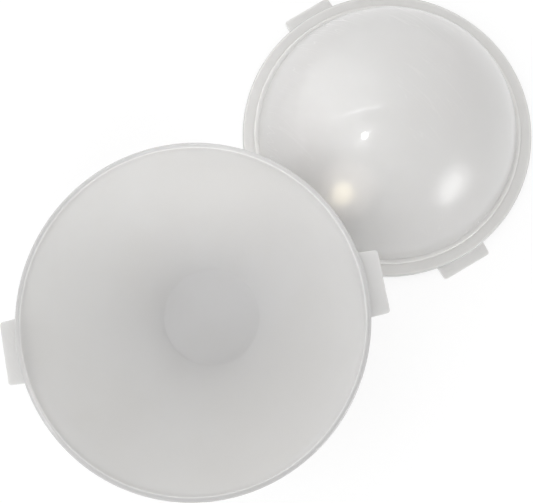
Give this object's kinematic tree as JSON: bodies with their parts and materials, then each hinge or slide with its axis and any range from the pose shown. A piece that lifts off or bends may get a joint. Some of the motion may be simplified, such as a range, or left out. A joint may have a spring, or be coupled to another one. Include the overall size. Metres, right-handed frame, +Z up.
{
  "type": "lettuce keeper",
  "caption": "Round milky plastic lettuce keeper: a deep half-round bowl with a flat foot, and a domed lid that clips over its rim and lies beside it, both with flat pull tabs at the rim.",
  "frame": {"origin": "centre of the underside of the bowl's flat foot, on the bowl's axis", "axes": "+Z up along the bowl's axis, from its foot to its mouth; the lid lies towards +X and +Y"},
  "size_m": [0.3365, 0.333, 0.095],
  "materials": {
    "milky_plastic": "milky translucent polypropylene with a soft gloss"
  },
  "bodies": {
    "bowl": {"bowl": "milky_plastic"},
    "lid": {"lid": "milky_plastic"}
  },
  "joints": [
    {"name": "lid_lift", "type": "slide", "parent": "bowl", "child": "lid", "axis": [0.3448, 0.3621, 0.866], "range_m": [0, 0.12]}
  ]
}
